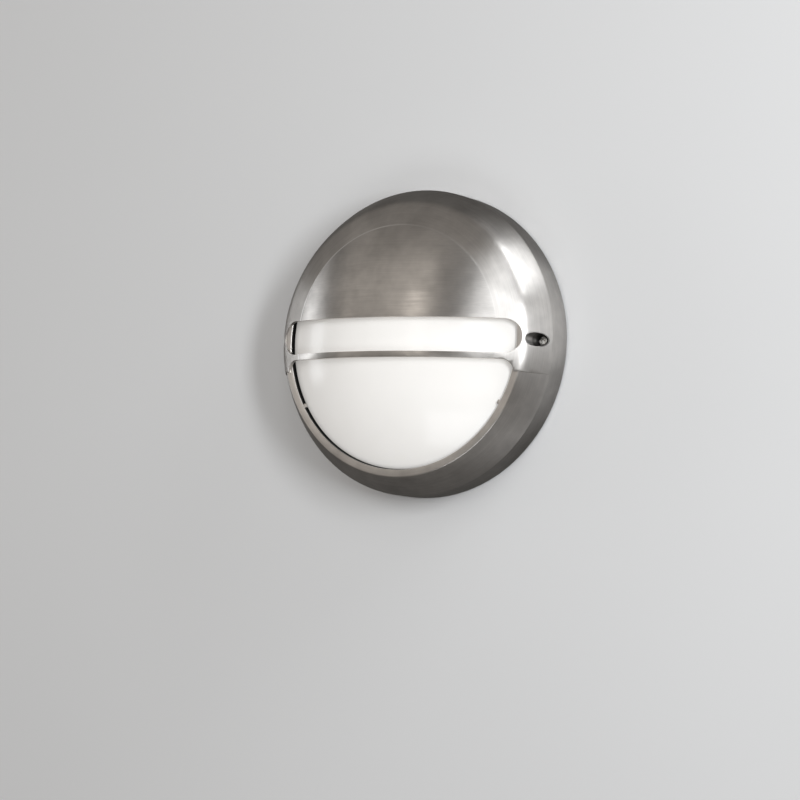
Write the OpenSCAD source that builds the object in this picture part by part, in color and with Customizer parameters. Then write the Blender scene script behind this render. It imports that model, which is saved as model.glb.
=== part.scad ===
// Round outdoor wall light with an eyelid hood over an opal glass.
//
// Frame: +Z is up, the front faces -Y and the wall is the plane Y = 0.
// The origin is on the wall, on the axis of the round body.
// Most pieces are drawn lying flat, x across, y up and z out of the wall,
// and from_wall() then stands them up against the wall.

/* [Body] */
// Outside radius of the skirt that stands on the wall
body_r = 130; // [120:0.5:140]
// Distance from the wall to the crease at the top of the skirt
skirt_h = 23.8; // [22:0.1:26]
// Distance from the wall to the flat front land of the ring
land_h = 51; // [50:0.1:53]
// How far in from the skirt the flat front land starts
land_in = 14.5; // [14:0.1:15]
// Width of the flat front land
land_w = 6.2; // [5.7:0.1:6.8]
// How far the ring's flank bulges out from a straight line
flank_bulge = 0.6; // [0.4:0.1:0.8]
// Wall thickness of the cast ring
ring_t = 3; // [2.5:0.1:3.2]

/* [Hood] */
// Distance from the wall to the middle of the hood
hood_h = 82.6; // [78:0.1:88]
// How far in from the skirt the crease round the hood's face lies
crease_in = 34; // [32:0.5:37]
// Height of that crease above the front land
crease_rise = 10.5; // [9.5:0.1:12]
// How far the hood stands proud of the ring's flank
hood_proud = 1.2; // [1.1:0.05:1.4]
// Thickness of the hood
hood_t = 3.2; // [2.6:0.1:3.4]
// Radius that blends the hood's shoulder into its flank
shoulder_blend = 20; // [16:1:22]
// Height below the axis at which the hood ends
hood_drop = 27.5; // [25:0.5:30]

/* [Windows] */
// Height of the slot's upper edge above the axis
slot_top = 15.9; // [14:0.1:18]
// Depth of the slot's lower edge below the axis
slot_low = 12.7; // [11:0.1:14]
// How far the slot's ends stay inside the front land's outer edge
slot_end_in = 0.6; // [0.5:0.1:3.5]
// Height of the bar under the slot
bar_h = 4.9; // [4:0.1:7]
// Radius of the lower window's upper corners
window_corner = 9; // [6:0.5:11]

/* [Cover screws] */
// Distance of each cover screw in from the skirt's outer face
cover_screw_in = 7.6; // [7.2:0.1:8]
// Radius of the sunk hole that the screw head sits in
sunk_hole_r = 5.75; // [5:0.05:5.8]
// Radius of a cover screw's shank
cover_screw_r = 2; // [1.8:0.05:2.2]

/* [Glass] */
// Gap between the glass and the ring, filled by a black seal
glass_side = 0.7; // [0.65:0.05:0.9]
// Depth of the dome's edge below the front land
glass_edge = 4.6; // [4.4:0.1:4.8]
// Thickness of the glass
glass_t = 4; // [3:0.5:5]
// Gap between the middle of the glass and the hood
glass_gap = 2.9; // [2.4:0.1:5]

/* [Base] */
// Thickness of the base's floor
floor_t = 3; // [2.5:0.5:4]
// Radius of the circle of wall fixing holes
fixing_circle_r = 85; // [82:1:88]
// Radius of a wall fixing hole
fixing_hole_r = 3; // [2.2:0.1:3.4]

/* [Lamp] */
// Distance from the wall to the lamp's axis
lamp_h = 34; // [33:0.5:36]
// Radius of the lamp's bulb
globe_r = 22.5; // [20:0.5:24]

/* [Hidden] */
$fn = 96;
eps = 0.01;
fit = 0.1;

// Places of the pieces, out from the wall
gasket_h = 2;
floor_top = gasket_h + floor_t;
lip_len = 8;
flange_seal_t = 3.5;
flange_t = 5;
rim_seal_room = 3.5;
lip_low = land_h - lip_len;
flange_high = lip_low - flange_seal_t;
flange_low = flange_high - flange_t;
rim_top = flange_low - rim_seal_room;

// Ring
skirt_start = 1;
skirt_inner = body_r - ring_t;
skirt_gap = 1;
land_outer_r = body_r - land_in;
opening_r = land_outer_r - land_w;
lip_t = 3;
bury = 1.3; // depth under the outer face at which the bosses stop
land_run = body_r - land_outer_r;
land_rise = land_h - skirt_h;
flank_len = sqrt(land_run * land_run + land_rise * land_rise);
flank_out = land_rise / flank_len;
flank_up = land_run / flank_len;
// the flank is an arc round the point flank_mid_r, flank_mid_h
flank_arc_r = (flank_len * flank_len / 4 + flank_bulge * flank_bulge) / (2 * flank_bulge);
flank_mid_r = (body_r + land_outer_r) / 2 - flank_out * (flank_arc_r - flank_bulge);
flank_mid_h = (skirt_h + land_h) / 2 - flank_up * (flank_arc_r - flank_bulge);
flank_steps = 4;
function flank_r(h, off) =
    flank_mid_r + sqrt(pow(flank_arc_r + off, 2) - pow(h - flank_mid_h, 2));
function flank_h(r, off) =
    flank_mid_h + sqrt(pow(flank_arc_r + off, 2) - pow(r - flank_mid_r, 2));

// Hood: a ball of radius cap_r, a straight shoulder, a blend and the flank
crease_r = body_r - crease_in;
crease_h = land_h + crease_rise;
cap_drop = hood_h - crease_h;
cap_r = (crease_r * crease_r + cap_drop * cap_drop) / (2 * cap_drop);
cap_mid = hood_h - cap_r;
hood_corner_r = land_outer_r + hood_proud * flank_out;
hood_corner_h = land_h + hood_proud * flank_up;
shoulder_slope = atan2(crease_h - hood_corner_h, hood_corner_r - crease_r);
shoulder_up = [sin(shoulder_slope), cos(shoulder_slope)];
shoulder_along = [cos(shoulder_slope), -sin(shoulder_slope)];
shoulder_off = shoulder_up * [crease_r, crease_h];
// the blend's circle touches the shoulder line and, from inside, the flank's arc
flank_mid = [flank_mid_r, flank_mid_h];
hood_arc_r = flank_arc_r + hood_proud;
blend_foot = (shoulder_off - shoulder_blend) * shoulder_up;
foot_run = (blend_foot - flank_mid) * shoulder_along;
blend_reach = sqrt(pow(foot_run, 2) - pow(norm(blend_foot - flank_mid), 2)
    + pow(hood_arc_r - shoulder_blend, 2)) - foot_run;
blend_mid = blend_foot + blend_reach * shoulder_along;
blend_tilt = atan2(blend_mid[0] - flank_mid_r, blend_mid[1] - flank_mid_h);
skirt_tilt = atan2(body_r - flank_mid_r, skirt_h - flank_mid_h);
blend_steps = 6;
hood_end_x = opening_r + 0.5;
hood_end_r = 6;

// Slot, and lower window a little wider than the opening in the ring
slot_half = land_outer_r - slot_end_in;
window_side = 0.6;
window_deep = 40;

// Cover screw stack
cover_screw_x = body_r - cover_screw_in;
cover_head_r = 3.5;
socket_r = 1.73;
socket_deep = 2;
seat_h = 24;
boss_end = 11;
cover_boss_r = sunk_hole_r + 1.8;
seal_r = 4.2;
seal_t = 1;
head_h = 4;
screw_tip = 5;

// Glass
glass_r = opening_r - glass_side;
glass_h = hood_h - hood_t - glass_gap;
glass_drop = glass_h - land_h + glass_edge;
glass_cap_r = (glass_r * glass_r + glass_drop * glass_drop) / (2 * glass_drop);
glass_cap_mid = glass_h - glass_cap_r;
glass_corner = 1.5;
inner_corner = 0.6;
flange_r = cover_screw_x - cover_boss_r - 0.35;
seal_sunk = 5.2; // depth of the black seal below the front land
lug_angles = [91, 211, 331]; // three lugs keep the glass from coming out forward
lug_w = 3.6;
lug_in = 2.4;
lug_bite = 0.5;
lug_deep = 2.6;
lug_sunk = 0.2;

// Glass clips
clip_boss_r = 3.3;
clip_boss_len = 12;
clip_r = flange_r + 0.5 + clip_boss_r;
clip_t = 1;
clip_in = flange_r - 3.5;
clip_out = clip_r + 2.7;
clip_w = 8;
clip_angles = [45, 135, 225, 315];
clip_screw_in = 6.5;
clip_screw_room = 0.5;
clip_screw_end = flange_low + clip_screw_in;
clip_hole_end = clip_screw_end + clip_screw_room;

// Small self-tapping screws, their tapped holes and their clearance holes
small_r = 1.45;
small_head_r = 2.75;
small_head_h = 1.8;
small_tap_r = 1.5;
small_clear_r = 1.7;
tap_room = 0.5;

// Base
base_r = skirt_inner - skirt_gap;
edge_t = 3.2;
base_boss_r = 7;
rim_side = 0.7;
rim_t = 3;
rim_out = opening_r - rim_side;
rim_in = rim_out - rim_t;
edge_h = 9;
pad_h = 7;
pad_r = 8;
washer_r = 6.5;
washer_t = 1.5;
fixing_angles = [90, 210, 330];
back_boss_low = 0.5;
tap_end = 1.5;
boss_tap_end = gasket_h + tap_end;
rim_seal_t = 1.5;
rim_seal_deep = 4;
wall_seal_in = 2;
wall_seal_w = 12;
entry_in = 17;
entry_shift = 6;
entry_y = fixing_circle_r - pad_r - entry_in;
plug_y = -entry_y - entry_shift;
entry_r = 10;
bush_bore_r = 3;
bush_wall = 3;

// Lamp holder, its axis along x
holder_in = 27.6;
holder_x = holder_in - rim_in;
holder_r = 21;
chamber_r = 16;
holder_len = 46;
chamber_len = 14;
web_t = 4;
web_x = holder_x + chamber_len;
bore_x = web_x + web_t;
shell_out = 14.4;
shell_in = 13.5;
shell_t = 0.7;
shell_hole_r = 6;
contact_r = 4;
contact_len = 3.5;
tip_x = bore_x + contact_len;
cap_tip_r = 4.5;
cap_tip_len = 2.5;
cap_cone_r = 8;
cap_top_r = 12.2;
cap_start = 5;
cap_thread_r = 13.2;
cap_len = 25;
neck_r = 12.6;
neck_angle = 42;
globe_mid = 53;
globe_x = tip_x + globe_mid;
bracket_t = 1.5;
holder_screw_y = 18.5;
holder_screw_len = 8;
bracket_w = 48;
bracket_up = 14;
foot_len = 20;
foot_x = holder_x - foot_len;
foot_screw_x = holder_x - 0.6 * foot_len;
foot_screw_y = 15;
post_w = 4.8;
post_low = 4;
post_len = 10;

// Terminal block and leads
pole_pitch = 9;
pole_in = 3;
pole_x = [for (i = [0:2]) holder_x + pole_in + i * pole_pitch];
block_in = 59.6;
block_w = 16;
block_low = rim_in - block_in;
block_high = block_low + block_w;
block_h = 14;
block_mid = (block_low + block_high) / 2;
ear_t = 3;
ear_r = 4.2;
ear_x = [pole_x[0] - pole_pitch + 0.6, pole_x[2] + pole_pitch - 0.6];
pole_screw_y = [block_low + 5, block_high - 5];
pole_screw_r = 1.4;
pole_screw_len = 3;
pole_head_r = 2;
pole_head_h = 2.2;
pole_slot = 0.7;
pole_bore_r = 2.7;
tube_bore_r = 1.6;
lead_in = 7; // how far a lead goes into its pole
wire_h = 11;
lead_r = 1.25;
lead_bend = 4;
lead_end_y = [7, -7];
lead_drop = 8;
lead_top = lamp_h - lead_drop;
lug_reach = 7;
lug_t = 0.8;
barrel_len = 3.5;
earth_run = 13;
earth_x = pole_x[2] + earth_run;
earth_y = 34;
earth_screw_r = 2;
earth_hole_r = 2.15;

// Reflector
plate_x0 = globe_x - globe_r;
plate_gap = 3.6;
plate_x1 = fixing_circle_r * cos(30) - pad_r - plate_gap;
plate_half = 42;
plate_edge = 10;
plate_low = 8;
plate_t = 1;
plate_post = [for (x = [plate_x0 + plate_edge, plate_x1 - plate_edge], s = [-1, 1])
    [x, s * (plate_half - plate_edge)]];

metal = [0.62, 0.60, 0.57];
plain_metal = [0.75, 0.75, 0.74];
steel = [0.7, 0.7, 0.7];
brass = [0.75, 0.62, 0.32];
black = [0.06, 0.06, 0.06];
white = [0.95, 0.95, 0.93];

// Stands a flat drawing up against the wall
module from_wall() rotate([90, 0, 0]) children();

// A disc or tube that starts at h0 and ends at h1
module tube(r, hole, h0, h1) translate([0, 0, h0]) difference() {
    cylinder(r = r, h = h1 - h0);
    if (hole > 0) translate([0, 0, -eps]) cylinder(r = hole, h = h1 - h0 + 2 * eps);
}

// A ring of rectangular section, from r0 to r1 and from h0 to h1
module band(r0, r1, h0, h1) rotate_extrude() translate([r0, h0]) square([r1 - r0, h1 - h0]);

// A pan head screw that stands on h, its shank going back to tip
module pan_screw(shank, head, head_t, h, tip) {
    difference() {
        union() {
            translate([0, 0, tip]) cylinder(r = shank, h = h - tip + eps);
            translate([0, 0, h]) cylinder(r1 = head, r2 = head * 0.85, h = head_t);
        }
        translate([0, 0, h + head_t - 0.9]) {
            translate([-head * 0.6, -0.4, 0]) cube([head * 1.2, 0.8, 1]);
            translate([-0.4, -head * 0.6, 0]) cube([0.8, head * 1.2, 1]);
        }
    }
}

// A small screw that stands on h
module small_screw(h, tip) pan_screw(small_r, small_head_r, small_head_h, h, tip);

// Copies at the four clips
module at_clips() for (a = clip_angles) rotate([0, 0, a]) translate([clip_r, 0, 0]) children();

// Copies at the wall fixing holes
module at_fixings() for (a = fixing_angles) rotate([0, 0, a])
    translate([fixing_circle_r, 0, 0]) children();

// Copies at the two cover screws
module at_cover_screws() for (s = [-1, 1]) translate([s * cover_screw_x, 0, 0]) children();

// Front cover

// Section of the cast ring: skirt, flank, front land and the lip behind it
module ring_section() polygon([
    [skirt_inner, skirt_start], [body_r, skirt_start],
    for (i = [0:flank_steps]) let (h = skirt_h + land_rise * i / flank_steps) [flank_r(h, 0), h],
    [opening_r, land_h], [opening_r, lip_low],
    [opening_r + lip_t, lip_low], [opening_r + lip_t, land_h - ring_t],
    [flank_r(land_h - ring_t, -ring_t), land_h - ring_t],
    [skirt_inner, flank_h(skirt_inner, -ring_t)]
]);

// Everything below the hood's outer face, taken inward by t. The blend
// and the flank are rows of narrow cones.
module hood_section(t) intersection() {
    polygon([
        [0, skirt_start],
        [flank_mid_r + (hood_arc_r - t) * sin(skirt_tilt), skirt_start],
        for (i = [0:flank_steps - 1])
            let (a = skirt_tilt + (blend_tilt - skirt_tilt) * i / flank_steps)
            flank_mid + (hood_arc_r - t) * [sin(a), cos(a)],
        for (i = [0:blend_steps])
            let (a = blend_tilt + (shoulder_slope - blend_tilt) * i / blend_steps)
            blend_mid + (shoulder_blend - t) * [sin(a), cos(a)],
        [0, (shoulder_off - t) / cos(shoulder_slope)]
    ]);
    translate([0, cap_mid]) circle(r = cap_r - t, $fn = 360);
    translate([0, skirt_start]) square([body_r - t, hood_h]);
}

// A lug that reaches from the ring over the edge of the glass
module edge_lug() translate([opening_r - lug_in, -lug_w / 2, land_h - lug_deep])
    cube([lug_in + lug_bite, lug_w, lug_deep - lug_sunk]);

// Front outline of the hood: it ends above the lower window and ring
module hood_outline() difference() {
    intersection() {
        circle(r = body_r + 1);
        translate([-2 * body_r, -hood_drop]) square([4 * body_r, 3 * body_r]);
    }
    lower_window();
    // the hood's two lower inner corners are round
    for (s = [-1, 1]) difference() {
        translate([s * hood_end_x - hood_end_r / 2, -hood_drop - 1])
            square([hood_end_r, hood_end_r + 1]);
        translate([s * (hood_end_x + hood_end_r / 2), -hood_drop + hood_end_r])
            circle(r = hood_end_r);
    }
}

// Upper part of the lower window, cut out of the hood
module lower_window() {
    top = -slot_low - bar_h;
    half = sqrt(opening_r * opening_r - top * top) + window_side;
    translate([-half, top - window_corner - window_deep]) square([2 * half, window_deep]);
    translate([-half + window_corner, top - window_corner - 1])
        square([2 * (half - window_corner), window_corner + 1]);
    for (s = [-1, 1]) translate([s * (half - window_corner), top - window_corner])
        circle(r = window_corner);
}

// The slot, with round ends
module slot_outline() {
    r = (slot_top + slot_low) / 2;
    translate([0, slot_top - r]) {
        translate([-slot_half + r, -r]) square([2 * (slot_half - r), 2 * r]);
        for (s = [-1, 1]) translate([s * (slot_half - r), 0]) circle(r = r);
    }
}

module front_cover() color(metal) from_wall() difference() {
    union() {
        rotate_extrude() ring_section();
        intersection() {
            rotate_extrude() difference() {
                hood_section(0);
                hood_section(hood_t);
            }
            linear_extrude(height = hood_h + 5) hood_outline();
        }
        for (a = lug_angles) rotate([0, 0, a]) edge_lug();
        intersection() {
            union() {
                at_cover_screws() translate([0, 0, boss_end])
                    cylinder(r = cover_boss_r, h = land_h - boss_end);
                at_clips() translate([0, 0, flange_low])
                    cylinder(r = clip_boss_r, h = clip_boss_len);
            }
            rotate_extrude() polygon([[0, skirt_start], [body_r - bury, skirt_start],
                [body_r - bury, skirt_h - bury], [flank_r(land_h - bury, -bury), land_h - bury],
                [0, land_h - bury]]);
        }
    }
    translate([0, 0, land_h]) linear_extrude(height = hood_h) slot_outline();
    at_cover_screws() {
        translate([0, 0, seat_h]) cylinder(r = sunk_hole_r, h = hood_h);
        translate([0, 0, boss_end - eps]) cylinder(r = cover_screw_r + 0.3, h = seat_h);
    }
    at_clips() translate([0, 0, flange_low - eps])
        cylinder(r = small_tap_r, h = clip_hole_end - flange_low);
}

// Glass and what holds it

// Everything under a domed face that is taken inward by t
module glass_section(t) {
    r = glass_r - t;
    cap = glass_cap_r - t;
    corner = max(glass_corner - t, inner_corner);
    // middle of the small circle that blends the wall into the dome
    mid_r = r - corner;
    mid_h = glass_cap_mid + sqrt(pow(cap - corner, 2) - mid_r * mid_r);
    angle = atan2(mid_h - glass_cap_mid, mid_r);
    intersection() {
        union() {
            translate([0, flange_low - eps]) square([r, mid_h - flange_low + eps]);
            polygon([[0, mid_h - 1], [mid_r, mid_h - 1], [mid_r, mid_h],
                     [mid_r + corner * cos(angle), mid_h + corner * sin(angle)],
                     [mid_r + corner * cos(angle) - 5, mid_h + corner * sin(angle) + 9],
                     [mid_r + corner * cos(angle) - 5, glass_h + 5], [0, glass_h + 5]]);
            translate([mid_r, mid_h]) circle(r = corner);
        }
        translate([0, glass_cap_mid]) circle(r = cap, $fn = 360);
        translate([0, flange_low - 2 * eps]) square([r, glass_h]);
    }
}

module opal_glass() color(white) from_wall() rotate_extrude() difference() {
    union() {
        intersection() {
            glass_section(0);
            translate([0, flange_low]) square([glass_r, glass_h]);
        }
        translate([glass_r - glass_t, flange_low])
            square([flange_r - glass_r + glass_t, flange_high - flange_low]);
    }
    glass_section(glass_t);
}

// Black seal between the glass and the lip of the ring
module glass_gasket() color(black) from_wall() {
    band(glass_r + fit, flange_r, flange_high, lip_low);
    band(glass_r + fit, opening_r - fit, lip_low - eps, land_h - seal_sunk);
}

module glass_clips() color(steel) from_wall() for (a = clip_angles) rotate([0, 0, a])
    difference() {
        translate([clip_in, -clip_w / 2, flange_low - clip_t])
            cube([clip_out - clip_in, clip_w, clip_t]);
        translate([clip_r, 0, flange_low - 2 * clip_t])
            cylinder(r = small_clear_r, h = 3 * clip_t);
    }

module clip_screws() color(steel) from_wall() at_clips()
    translate([0, 0, 2 * (flange_low - clip_t)]) rotate([180, 0, 0])
        small_screw(flange_low - clip_t, 2 * (flange_low - clip_t) - clip_screw_end);

// Base

// Floor screws reach into low bosses behind the floor
module at_floor_screws() {
    for (s = [-1, 1]) translate([foot_screw_x, s * foot_screw_y, 0]) children();
    for (x = ear_x) translate([x, block_mid, 0]) children();
}

module base_plate() color(plain_metal) from_wall() difference() {
    union() {
        tube(base_r, 0, gasket_h, floor_top);
        band(base_r - edge_t, base_r, gasket_h, edge_h);
        band(rim_in, rim_out, gasket_h, rim_top);
        intersection() {
            at_cover_screws() tube(base_boss_r, 0, gasket_h, boss_end);
            band(rim_in + 1, base_r, gasket_h, boss_end);
        }
        at_fixings() tube(pad_r, 0, 0, pad_h);
        at_floor_screws() tube(4, 0, back_boss_low, floor_top - eps);
        for (p = plate_post) translate([p[0], p[1], 0]) tube(4, 0, gasket_h, plate_low);
        translate([earth_x, earth_y, 0]) tube(5, 0, gasket_h, edge_h);
    }
    at_cover_screws() translate([0, 0, screw_tip - 1])
        cylinder(r = cover_screw_r + 0.05, h = boss_end);
    at_fixings() translate([0, 0, -eps]) cylinder(r = fixing_hole_r, h = pad_h + 1);
    at_floor_screws() translate([0, 0, tap_end]) cylinder(r = small_tap_r, h = floor_top);
    for (p = plate_post) translate([p[0], p[1], boss_tap_end])
        cylinder(r = small_tap_r, h = plate_low);
    translate([earth_x, earth_y, boss_tap_end]) cylinder(r = earth_screw_r + 0.05, h = edge_h);
    for (y = [entry_y, plug_y]) translate([0, y, 0]) cylinder(r = entry_r, h = floor_top + 1);
}

// Seal between the rim of the base and the back of the glass
module rim_gasket() color(black) from_wall() rotate_extrude() difference() {
    translate([rim_in - rim_seal_t, rim_top - rim_seal_deep])
        square([rim_out - rim_in + 2 * rim_seal_t, flange_low - rim_top + rim_seal_deep]);
    translate([rim_in - fit, rim_top - rim_seal_deep - 1])
        square([rim_out - rim_in + 2 * fit, rim_seal_deep + 1]);
}

module wall_gasket() color(black) from_wall()
    band(base_r - wall_seal_in - wall_seal_w, base_r - wall_seal_in, 0, gasket_h);

module fixing_washers() color(black) from_wall() at_fixings()
    tube(washer_r, fixing_hole_r + fit, pad_h, pad_h + washer_t);

// Rubber bush for a hole in the floor, open through the middle or closed
module bush(hole) {
    difference() {
        union() {
            tube(entry_r + 3, 0, floor_top, floor_top + 2);
            tube(entry_r - fit, 0, gasket_h - 1, floor_top + 1);
            tube(entry_r + 2, 0, 0.4, gasket_h);
        }
        if (hole > 0) cylinder(r = hole, h = 3 * floor_top, center = true);
        if (hole > 0) translate([0, 0, gasket_h + 1]) cylinder(r = entry_r - bush_wall, h = entry_r);
        if (hole == 0) translate([0, 0, floor_top + 1]) cylinder(r = entry_r - bush_wall, h = entry_r);
    }
}

module entry_grommet() color(black) from_wall() translate([0, entry_y, 0]) bush(bush_bore_r);
module entry_plug() color(black) from_wall() translate([0, plug_y, 0]) bush(0);

// Cover screws

module cover_screws() color(steel) from_wall() at_cover_screws() difference() {
    union() {
        translate([0, 0, screw_tip])
            cylinder(r = cover_screw_r, h = seat_h + seal_t - screw_tip + eps);
        translate([0, 0, seat_h + seal_t]) cylinder(r = cover_head_r, h = head_h);
    }
    translate([0, 0, seat_h + seal_t + head_h - socket_deep])
        cylinder(r = socket_r, h = socket_deep + 1, $fn = 6);
}

module screw_seals() color(black) from_wall() at_cover_screws()
    tube(seal_r, cover_screw_r + fit, seat_h, seat_h + seal_t);

// Lamp and lamp holder

// A round piece along x, from x0 to x1, on the lamp's axis
module along_x(r0, r1, x0, x1) translate([x0, 0, lamp_h]) rotate([0, 90, 0])
    cylinder(r1 = r0, r2 = r1, h = x1 - x0);

module lamp_bracket() color(steel) from_wall() difference() {
    union() {
        translate([holder_x - bracket_t, -bracket_w / 2, floor_top])
            cube([bracket_t, bracket_w, lamp_h + bracket_up - floor_top]);
        translate([foot_x, -bracket_w / 2, floor_top])
            cube([holder_x - foot_x, bracket_w, bracket_t]);
    }
    for (s = [-1, 1]) {
        translate([foot_screw_x, s * foot_screw_y, 0])
            cylinder(r = small_clear_r, h = 2 * floor_top);
        translate([0, s * holder_screw_y, 0])
            along_x(small_clear_r, small_clear_r, holder_x - 2 * bracket_t, holder_x + 1);
    }
}

module bracket_screws() color(steel) from_wall() for (s = [-1, 1])
    translate([foot_screw_x, s * foot_screw_y, 0])
        small_screw(floor_top + bracket_t, tap_end + tap_room);

module holder_body() color(white) from_wall() difference() {
    along_x(holder_r, holder_r, holder_x, holder_x + holder_len);
    along_x(chamber_r, chamber_r, holder_x - 1, web_x);
    along_x(shell_out + fit, shell_out + fit, bore_x, holder_x + holder_len + 1);
    for (s = [-1, 1]) translate([0, s * holder_screw_y, 0])
        along_x(small_tap_r, small_tap_r, holder_x - 1, holder_x + holder_screw_len + 1);
    lead_ends() translate([0, 0, -holder_r]) cylinder(r = lead_r + 0.4, h = holder_r);
}

module holder_shell() color(brass) from_wall() difference() {
    along_x(shell_out, shell_out, bore_x, holder_x + holder_len - 4);
    along_x(shell_in, shell_in, bore_x + shell_t, holder_x + holder_len);
    along_x(shell_hole_r, shell_hole_r, bore_x - shell_t, bore_x + 2 * shell_t);
}

module holder_contact() color(brass) from_wall() along_x(contact_r, contact_r, bore_x, tip_x);

// Copies where each lamp lead ends inside the holder
module lead_ends() for (i = [0, 1])
    translate([pole_x[i], lead_end_y[i], lead_top]) children();

// Two brass posts that stand on the holder's web and take the lamp leads
module holder_posts() color(brass) from_wall() difference() {
    for (i = [0, 1])
        translate([pole_x[i] - post_w / 2, lead_end_y[i] - post_w / 2, lead_top - post_low])
            cube([web_x - pole_x[i] + post_w / 2, post_w, post_len]);
    lead_ends() translate([0, 0, -post_low - 1]) cylinder(r = lead_r + fit, h = post_low + 2);
}

module holder_screws() color(steel) from_wall() for (s = [-1, 1])
    translate([0, s * holder_screw_y, 0]) difference() {
        union() {
            along_x(small_r, small_r, holder_x - bracket_t - eps,
                    holder_x + holder_screw_len);
            along_x(0.85 * small_head_r, small_head_r,
                    holder_x - bracket_t - small_head_h, holder_x - bracket_t);
        }
        translate([holder_x - bracket_t - 2, -1.8, lamp_h - 0.4]) cube([1, 3.6, 0.8]);
        translate([holder_x - bracket_t - 2, -0.4, lamp_h - 1.8]) cube([1, 0.8, 3.6]);
    }

// One sealed bulb: tip, screw cap, neck and globe, turned about the lamp's axis
module bulb() color(white) from_wall()
    translate([tip_x, 0, lamp_h]) rotate([0, 90, 0]) rotate_extrude() {
        polygon([[0, 0], [cap_tip_r, 0], [cap_tip_r, cap_tip_len], [cap_cone_r, cap_tip_len],
                 [cap_top_r, cap_start], [cap_thread_r, cap_start],
                 [cap_thread_r, cap_len], [neck_r, cap_len],
                 [globe_r * cos(neck_angle), globe_mid - globe_r * sin(neck_angle)],
                 [0, globe_mid]]);
        intersection() {
            translate([0, globe_mid]) circle(r = globe_r);
            translate([0, globe_mid - globe_r * sin(neck_angle)]) square(3 * globe_r);
        }
    }

// Terminal block and leads

module terminal_body() color(white) from_wall() difference() {
    half = pole_pitch / 2;
    union() {
        translate([pole_x[0] - half, block_low, floor_top])
            cube([3 * pole_pitch, block_high - block_low, block_h]);
        for (x = ear_x)
            translate([x, block_mid, 0]) tube(ear_r, 0, floor_top, floor_top + ear_t);
    }
    for (x = pole_x) {
        translate([x, block_low - 1, wire_h]) rotate([-90, 0, 0])
            cylinder(r = pole_bore_r, h = block_high - block_low + 2);
        for (y = pole_screw_y)
            translate([x, y, wire_h]) cylinder(r = pole_head_r + 0.2, h = block_h);
    }
    for (x = ear_x) translate([x, block_mid, 0]) cylinder(r = small_clear_r, h = 2 * block_h);
}

module terminal_tubes() color(brass) from_wall() for (x = pole_x) difference() {
    translate([x, block_low + 1.5, wire_h]) rotate([-90, 0, 0])
        cylinder(r = pole_bore_r - fit, h = block_high - block_low - 3);
    translate([x, block_low, wire_h]) rotate([-90, 0, 0])
        cylinder(r = tube_bore_r, h = block_high - block_low);
    for (y = pole_screw_y)
        translate([x, y, wire_h]) cylinder(r = pole_screw_r + fit, h = 2 * pole_bore_r);
}

module terminal_screws() color(steel) from_wall() for (x = pole_x, y = pole_screw_y)
    translate([x, y, 0]) difference() {
        translate([0, 0, wire_h + lead_r]) {
            cylinder(r = pole_screw_r, h = pole_screw_len);
            translate([0, 0, pole_screw_len - eps]) cylinder(r = pole_head_r, h = pole_head_h);
        }
        translate([-pole_head_r - 1, -pole_slot / 2,
                   wire_h + lead_r + pole_screw_len + pole_head_h - pole_slot])
            cube([2 * pole_head_r + 2, pole_slot, 2 * pole_slot]);
    }

module block_screws() color(steel) from_wall() for (x = ear_x)
    translate([x, block_mid, 0]) small_screw(floor_top + ear_t, tap_end + tap_room);

// A lead that runs down from the block and then up into the holder
module lamp_lead(i) {
    x = pole_x[i];
    y = lead_end_y[i];
    translate([x, y + lead_bend, wire_h]) rotate([-90, 0, 0])
        cylinder(r = lead_r, h = block_low + lead_in - y - lead_bend);
    translate([x, y + lead_bend, wire_h + lead_bend]) rotate([0, -90, 0])
        rotate([0, 0, 180]) rotate_extrude(angle = 90) translate([lead_bend, 0])
            circle(r = lead_r);
    translate([x, y, wire_h + lead_bend])
        cylinder(r = lead_r, h = lead_top - wire_h - lead_bend);
}

module live_lead() color([0.35, 0.18, 0.09]) from_wall() lamp_lead(0);
module neutral_lead() color([0.1, 0.25, 0.65]) from_wall() lamp_lead(1);

module earth_lead() color([0.25, 0.55, 0.15]) from_wall() {
    x = pole_x[2];
    translate([x, earth_y + lead_bend, wire_h]) rotate([-90, 0, 0])
        cylinder(r = lead_r, h = block_low + lead_in - earth_y - lead_bend);
    translate([x + lead_bend, earth_y + lead_bend, wire_h]) rotate([0, 0, 180])
        rotate_extrude(angle = 90) translate([lead_bend, 0]) circle(r = lead_r);
    translate([x + lead_bend, earth_y, wire_h]) rotate([0, 90, 0])
        cylinder(r = lead_r, h = earth_x - lug_reach + 1.5 - x - lead_bend);
}

module earth_lug() color(steel) from_wall() translate([earth_x, earth_y, 0]) {
    difference() {
        union() {
            tube(4.2, 0, edge_h, edge_h + lug_t);
            translate([-lug_reach, -1.6, edge_h]) cube([lug_reach, 3.2, lug_t]);
            translate([-lug_reach - 1, 0, wire_h]) rotate([0, 90, 0]) cylinder(r = 1.9, h = barrel_len);
        }
        cylinder(r = earth_hole_r, h = 2 * edge_h);
        translate([-lug_reach - 2, 0, wire_h]) rotate([0, 90, 0])
            cylinder(r = lead_r + 0.05, h = barrel_len + 2.5);
    }
}

module earth_washer() color(steel) from_wall() translate([earth_x, earth_y, 0])
    tube(3.8, earth_hole_r, edge_h + lug_t, edge_h + 2 * lug_t);

module earth_screw() color(brass) from_wall() translate([earth_x, earth_y, 0])
    pan_screw(earth_screw_r, 3.6, 2.4, edge_h + 2 * lug_t, boss_tap_end + tap_room);

// Reflector

module reflector() color(white) from_wall() difference() {
    translate([plate_x0, -plate_half, plate_low])
        cube([plate_x1 - plate_x0, 2 * plate_half, plate_t]);
    for (p = plate_post) translate([p[0], p[1], 0]) cylinder(r = small_clear_r, h = 2 * plate_low);
}

module reflector_screws() color(steel) from_wall() for (p = plate_post)
    translate([p[0], p[1], 0]) small_screw(plate_low + plate_t, boss_tap_end + tap_room);

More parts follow.
